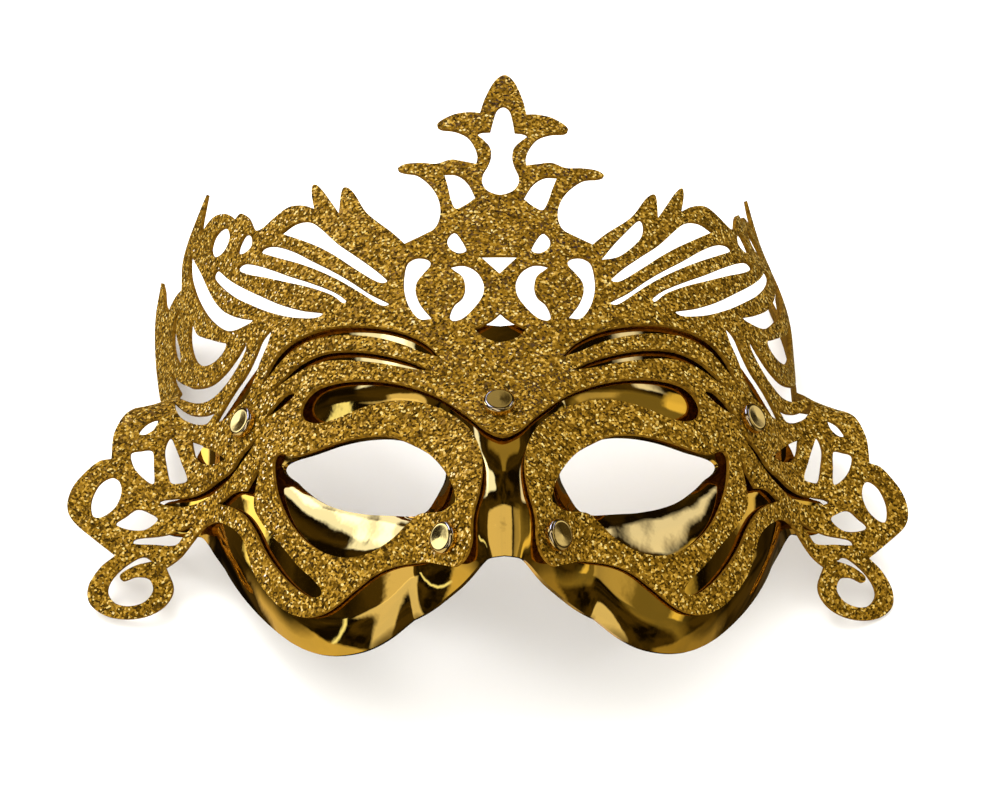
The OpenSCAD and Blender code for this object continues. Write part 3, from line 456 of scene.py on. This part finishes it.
def build_sheet():
    """The cut sheet: the outlines and a grid of inner points are joined into triangles in the flat, those
    inside the outlines are kept, and each point is carried to the surface, half the thickness out or in."""
    loops = sheet_loops()
    flat_points = np.vstack(loops)
    counts = [len(loop) for loop in loops]
    starts = np.cumsum([0] + counts)
    edges = [(s + i, s + (i + 1) % n) for s, n in zip(starts, counts) for i in range(n)]
    columns, rows = np.arange(-126, 126.1, grid_step), np.arange(-49, 101, grid_step)
    grid = np.stack(np.meshgrid(columns, rows), -1).reshape(-1, 2)
    grid[:, 0] += grid_step / 2 * (np.round(grid[:, 1] / grid_step) % 2)
    grid = grid[inside(grid, loops)]
    near = np.array([np.min(np.sum((flat_points - g) ** 2, 1)) for g in grid])
    grid = grid[near > outline_clear]
    verts, _, tris, _, _, _ = delaunay_2d_cdt(
        [Vector(p) for p in np.vstack([flat_points, grid])], edges, [], 0, 1e-5)
    p = np.array([v[:] for v in verts])
    tris = np.array(tris)
    tris = tris[inside(p[tris].mean(1), loops)]
    a, b, c = p[tris[:, 0]], p[tris[:, 1]], p[tris[:, 2]]
    area = (b[:, 0] - a[:, 0]) * (c[:, 1] - a[:, 1]) - (b[:, 1] - a[:, 1]) * (c[:, 0] - a[:, 0])
    tris[area < 0] = tris[area < 0][:, ::-1]
    tris = tris[np.abs(area) > least_area]
    used, tris = np.unique(tris, return_inverse=True)
    p, tris = p[used], tris.reshape(-1, 3)
    n = len(p)
    u, v = lean(p[:, 0], p[:, 1])
    points = np.vstack([place(u, v, sheet_t / 2), place(u, v, -sheet_t / 2)])
    step = np.vstack([tris[:, [0, 1]], tris[:, [1, 2]], tris[:, [2, 0]]])
    key = step[:, 0] * n + step[:, 1]
    rim = step[~np.isin(key, step[:, 1] * n + step[:, 0])]
    walls = np.stack([rim[:, 1], rim[:, 0], rim[:, 0] + n, rim[:, 1] + n], -1)
    faces = [*tris.tolist(), *(tris[:, ::-1] + n).tolist(), *walls.tolist()]
    slots = [0] * len(tris) + [1] * (len(tris) + len(walls))
    return points, faces, slots


# The CAD's own offset, which stands the mask on the table with its middle near the origin
shift = np.array((0.891, -26.895, 61.18))
points, faces, slots = build_sheet()
sheet = mesh_object("glitter_sheet", points + shift, faces, slots, [glitter, gold_film])
rounded(sheet, 0.13)
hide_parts("filigree")
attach(sheet, "root")

# ---- the shell ----


def shell_lift(u, v, t, reach):
    """How far the shell's outer face lies from the surface: behind the sheet and its gap, dipping towards
    the eye hole and rolling in along the lower edge, both as a square law, rising in a ridge down the nose,
    and hollowed along the brow."""
    edge_mm, a = (1 - t) * reach, np.abs(u)
    socket = socket_dip * np.maximum(0, 1 - t / socket_share) ** 2
    ridge = ridge_h * (1 - ease(*ridge_fade_up, v)) * (1 - ease(0, ridge_w, a))
    roll = edge_roll * np.maximum(0, 1 - edge_mm / edge_roll_w) ** 2
    brow = brow_dip * ease(*brow_up, v) * (1 - ease(*brow_fade_up, v))
    return (-(sheet_t / 2 + layer_gap) - socket + ridge
            - roll * (1 - ease(*roll_fade_up, v)) * ease(*roll_across, a)
            - brow * ease(*brow_across, a) * (1 - ease(*brow_fade_across, a)))


def build_shell(steps=9, rings=64):
    """Both halves as rings between the eye hole's edge and the outer edge: a point is the hole's edge plus
    t of the way to the outer edge, carried out by its lift; the inside is one thickness further in."""
    outer, hole = run(shell_edge, steps), run(hole_edge, steps)
    n = len(outer)
    t = np.linspace(0, 1, rings)[:, None]
    reach = np.hypot(*(outer - hole).T)
    u = np.maximum(0, hole[:, 0] + (outer[:, 0] - hole[:, 0]) * t)
    v = hole[:, 1] + (outer[:, 1] - hole[:, 1]) * t
    on_middle = (outer[:, 0] < 1e-6) & (np.roll(outer[:, 0], -1) < 1e-6)
    points, faces = [], []
    wall = ring_faces(rings, n)
    k = np.arange(n)
    size = rings * n
    hole_rim = np.stack([k, (k + 1) % n, (k + 1) % n + size, k + size], -1)
    edge_rim = (hole_rim + (rings - 1) * n)[~on_middle][:, ::-1]
    for side in (1, -1):
        base = sum(len(q) for q in points)
        for depth in (0, shell_t):
            points.append(place(side * u, v, shell_lift(u, v, t, reach) - depth).reshape(-1, 3))
        for block, turned in ((wall, False), (wall + size, True), (hole_rim, True), (edge_rim, True)):
            block = block + base
            faces.append(block[:, ::-1] if turned == (side > 0) else block)
    return np.vstack(points), np.vstack(faces)


points, faces = build_shell()
shell = mesh_object("gold_shell", points + shift, faces, materials=[metallised_abs])


def seat(a, v):
    """What stands a piece on the surface at (a, v): its turn, with +Z out of the face, and its place."""
    n = unit(on_table(normal(a, v)))
    at = place(a, v, 0) + shift
    x = unit(np.cross((0, 1, 0), n))
    return np.stack([x, np.cross(n, x), n], -1), at


def merged(obj):
    """Joins points that coincide and turns every face outwards."""
    bm = bmesh.new()
    bm.from_mesh(obj.data)
    bmesh.ops.remove_doubles(bm, verts=bm.verts, dist=1e-6)
    bmesh.ops.recalc_face_normals(bm, faces=bm.faces)
    bm.to_mesh(obj.data)
    bm.free()


def drilled(obj, holes, length=16):
    """Takes round holes of (across, up, radius) out of a piece, square to the surface."""
    bm = bmesh.new()
    for a, v, r in holes:
        turn, at = seat(a, v)
        stand = Matrix.Translation(Vector(at * MM)) @ Matrix(turn.tolist()).to_4x4()
        bmesh.ops.create_cone(bm, cap_ends=True, segments=48, radius1=r * MM, radius2=r * MM,
                              depth=length * MM, matrix=stand)
    cutter = bpy.data.objects.new("cutter", bpy.data.meshes.new("cutter"))
    bm.to_mesh(cutter.data)
    bm.free()
    bpy.context.scene.collection.objects.link(cutter)
    cut = obj.modifiers.new("holes", "BOOLEAN")
    cut.object, cut.operation, cut.solver = cutter, "DIFFERENCE", "EXACT"
    result = obj.evaluated_get(bpy.context.evaluated_depsgraph_get())
    mesh = bpy.data.meshes.new_from_object(result)
    obj.modifiers.clear()
    obj.data = mesh
    bpy.data.objects.remove(cutter)


merged(shell)
drilled(shell, [(a, v, shank_d / 2 + shank_clear) for a, v in rivets.values()]
        + [(s * strap_hole[0], strap_hole[1], strap_hole_d / 2) for s in (1, -1)])
shell.data.set_sharp_from_angle(angle=np.radians(shell_sharp_from))
rounded(shell, 0.3, 3, shell_sharp_from)
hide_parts("shell")
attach(shell, "root")

# ---- rivets ----


def lathe(name, profile, a, v, material, count=96):
    """Turns a profile of (radius, height) about the seat's +Z; both ends lie on the axis."""
    profile = np.array(profile, float)
    ring = np.radians(np.arange(count) * 360 / count)
    turn, at = seat(a, v)
    body = profile[1:-1]
    local = np.stack([body[:, :1] * np.cos(ring), body[:, :1] * np.sin(ring),
                      np.repeat(body[:, 1:], count, 1)], -1).reshape(-1, 3)
    local = np.vstack([local, [[0, 0, profile[0, 1]], [0, 0, profile[-1, 1]]]])
    m = len(body)
    k = np.arange(count)
    after, top = (k + 1) % count, (m - 1) * count
    first = np.stack([np.full(count, m * count), after, k], -1)
    last = np.stack([np.full(count, m * count + 1), top + k, top + after], -1)
    faces = [*ring_faces(m, count).tolist(), *first.tolist(), *last.tolist()]
    return mesh_object(name, local @ turn.T + at, faces, materials=[material])


# Heights from the surface: the underside of a cap, and the inside of the shell less the play
under = sheet_t / 2 + cap_off
deep = -(sheet_t / 2 + layer_gap + shell_t + cap_off)
shank_r, cap_r, back_r = shank_d / 2, cap_d / 2, back_cap_d / 2
# How far the shank runs on past deep, and the break at its end
shank_tail, shank_break = 0.9, 0.2
# A cap's lower edge, as (in from its side, up from its underside), and the dish in its top: depth, gap to
# the round, radius of the middle, points
cap_foot = [(0.3, 0), (0.1, 0.08), (0, 0.3)]
cap_dish, dish_gap, dish_r, dish_points = 0.12, 0.1, 0.05, 10
# A back cap's side, as (in from its edge, down from deep), and its bore, as (out from the shank, down)
back_side = [(1.1, back_cap_t), (0.7, back_cap_t - 0.12), (0.1, 0.45), (0, 0.15), (0.15, 0)]
back_bore = [(0.35, 0), (0.06, 0.1), (0.04, 0.98)]

corner = np.radians(np.linspace(0, 90, 12))
cap_top = under + cap_h
cap_profile = [
    (0, deep - shank_tail), (shank_r - shank_break, deep - shank_tail),
    (shank_r, deep - shank_tail + shank_break), (shank_r, under + 0.1),
    *((cap_r - x, under + z) for x, z in cap_foot),
    *zip(cap_r - cap_round + cap_round * np.cos(corner), cap_top - cap_round + cap_round * np.sin(corner)),
    *np.linspace((cap_r - cap_round - dish_gap, cap_top), (dish_r, cap_top - cap_dish), dish_points),
    (0, cap_top - cap_dish)]
back_profile = [
    (0, deep - back_cap_t), *((back_r - x, deep - z) for x, z in back_side),
    *((shank_r + x, deep - z) for x, z in back_bore), (0, deep - back_bore[-1][1])]
for place_name, (a, v) in rivets.items():
    cap = lathe("cap_" + place_name, cap_profile, a, v, polished_brass)
    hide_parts("rivet_" + place_name)
    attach(cap, "root")
    back_cap = lathe("back_cap_" + place_name, back_profile, a, v, polished_brass)
    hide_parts("back_" + place_name)
    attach(back_cap, "root")

# ---- floor and light ----

floor_mesh = bpy.data.meshes.new("floor")
floor_mesh.from_pydata([(-6, -6, 0), (6, -6, 0), (6, 6, 0), (-6, 6, 0)], [], [(0, 1, 2, 3)])
floor = bpy.data.objects.new("floor", floor_mesh)
bpy.context.scene.collection.objects.link(floor)
table_paint, tree, shader = new_material("table_paint", "#F4F3F0", Roughness=0.75)
floor_mesh.materials.append(table_paint)
floor.visible_glossy = False

# The room lights the table evenly, a little more from the left. What glossy things mirror is another, dim
# and uneven room with soft panels, set for the view from the front; their blue is strong where gold is to
# mirror cream. x, y and z are those of a unit vector from the mask, w is x + slant * y, and a panel lies
# between two values of w and two of y, above the horizon (side 1) or below it (side -1):
# (slant, low w, high w, low y, high y, edge, side, red, green, blue)
panels = [
    (-0.52, -0.76, -0.64, 0.10, 0.97, 0.03, 1, 1.4, 2.1, 11),
    (0, -0.60, -0.33, 0.12, 0.66, 0.03, 1, 1.4, 2.1, 11),
    (0.45, 0.66, 0.82, 0.02, 0.60, 0.06, 1, 1.1, 1.5, 7),
    (0, 0.77, 0.90, -0.30, 0.16, 0.04, 1, 0.9, 0.9, 0.9),
    (0, -0.62, 0.38, -0.33, -0.16, 0.04, 1, 0.92, 1.02, 2.2),
    (0, 0.40, 0.62, -0.33, -0.14, 0.05, 1, 0.4, 0.42, 0.7),
    (0.70, -0.95, -0.56, -1, -0.27, 0.05, 1, 0.95, 1.1, 2.8),
    (0, -0.82, -0.77, -0.70, -0.20, 0.02, 1, 1.4, 1.9, 5),
    (0, -1, -0.82, 0.16, 0.66, 0.03, 1, 2.0, 2.4, 4),
    (0, 0.45, 0.95, -0.60, -0.05, 0.10, 1, 0.22, 0.22, 0.22),
    (0, -0.06, 0.14, 0.52, 0.86, 0.05, 1, 0.32, 0.32, 0.32),
    (0, 0.80, 1, 0.20, 0.75, 0.05, 1, 0.9, 0.95, 1.2),
    (0, -1, -0.20, -1, 0.18, 0.08, -1, 0.8, 0.8, 1.0),
    (0, 0.50, 1, -1, 0.05, 0.10, -1, 0.35, 0.33, 0.33),
]
# The room's glow and how much it falls off to the right, and how quickly a panel ends at the horizon
room_glow, room_fall, horizon_cut = 1.8, 0.6, 20
world = bpy.data.worlds.new("room")
world.use_nodes = True
tree = world.node_tree
way = add(tree, "ShaderNodeTexCoord").outputs["Generated"]


def maths(operation, a, b, clamp=False):
    """A maths node on two values or outputs."""
    node = add(tree, "ShaderNodeMath", operation=operation, use_clamp=clamp)
    for socket, value in zip(node.inputs, (a, b)):
        if isinstance(value, bpy.types.NodeSocket):
            tree.links.new(value, socket)
        else:
            socket.default_value = value
    return node.outputs[0]


across, along, height = add(tree, "ShaderNodeSeparateXYZ", {0: way}).outputs
haze = add(tree, "ShaderNodeTexNoise", {"Vector": way}, sockets={"Scale": 3.2, "Detail": 2.0})
seen = ramp(tree, haze.outputs["Fac"], [(0.42, "#120F0B"), (0.62, "#4C4536")])
for slant, w0, w1, y0, y1, edge, side, *glow in panels:
    w = maths("ADD", across, maths("MULTIPLY", along, slant))
    cover = maths("ADD", 0.5, maths("MULTIPLY", height, side * horizon_cut), True)
    for distance in (maths("SUBTRACT", w, w0), maths("SUBTRACT", w1, w),
                     maths("SUBTRACT", along, y0), maths("SUBTRACT", y1, along)):
        cover = maths("MULTIPLY", cover, maths("DIVIDE", distance, edge, True))
    lit = add(tree, "ShaderNodeVectorMath", operation="SCALE", links={"Scale": cover})
    lit.inputs[0].default_value = glow
    seen = add(tree, "ShaderNodeVectorMath", {0: seen, 1: lit.outputs[0]}, operation="ADD").outputs[0]
bright = tree.nodes["Background"]
bright.inputs["Color"].default_value = colour("#FFFDF8")
glow_here = maths("SUBTRACT", room_glow, maths("MULTIPLY", across, room_fall))
tree.links.new(glow_here, bright.inputs["Strength"])
dim = add(tree, "ShaderNodeBackground", {"Color": seen})
path = add(tree, "ShaderNodeLightPath")
both = add(tree, "ShaderNodeMixShader",
           {0: path.outputs["Is Glossy Ray"], 1: bright.outputs[0], 2: dim.outputs[0]})
tree.links.new(both.outputs[0], tree.nodes["World Output"].inputs["Surface"])
bpy.context.scene.world = world
bpy.context.scene.view_settings.view_transform = "Standard"


def softbox(name, at, size, watts, target=Vector((0, 0, 0.04))):
    """A white rectangular light, (width, height) in metres, facing the target; nothing glossy mirrors it."""
    light = bpy.data.lights.new(name, "AREA")
    light.shape, light.size, light.size_y, light.energy = "RECTANGLE", size[0], size[1], watts
    obj = bpy.data.objects.new(name, light)
    aim = (target - Vector(at)).normalized()
    obj.matrix_world = Matrix.Translation(at) @ aim.to_track_quat("-Z", "Y").to_matrix().to_4x4()
    obj.visible_glossy = False
    bpy.context.scene.collection.objects.link(obj)


softbox("key", (-0.45, 0.4, 1.25), (0.6, 0.8), 13)
softbox("fill", (0.05, -1.3, 0.34), (0.9, 0.4), 6)
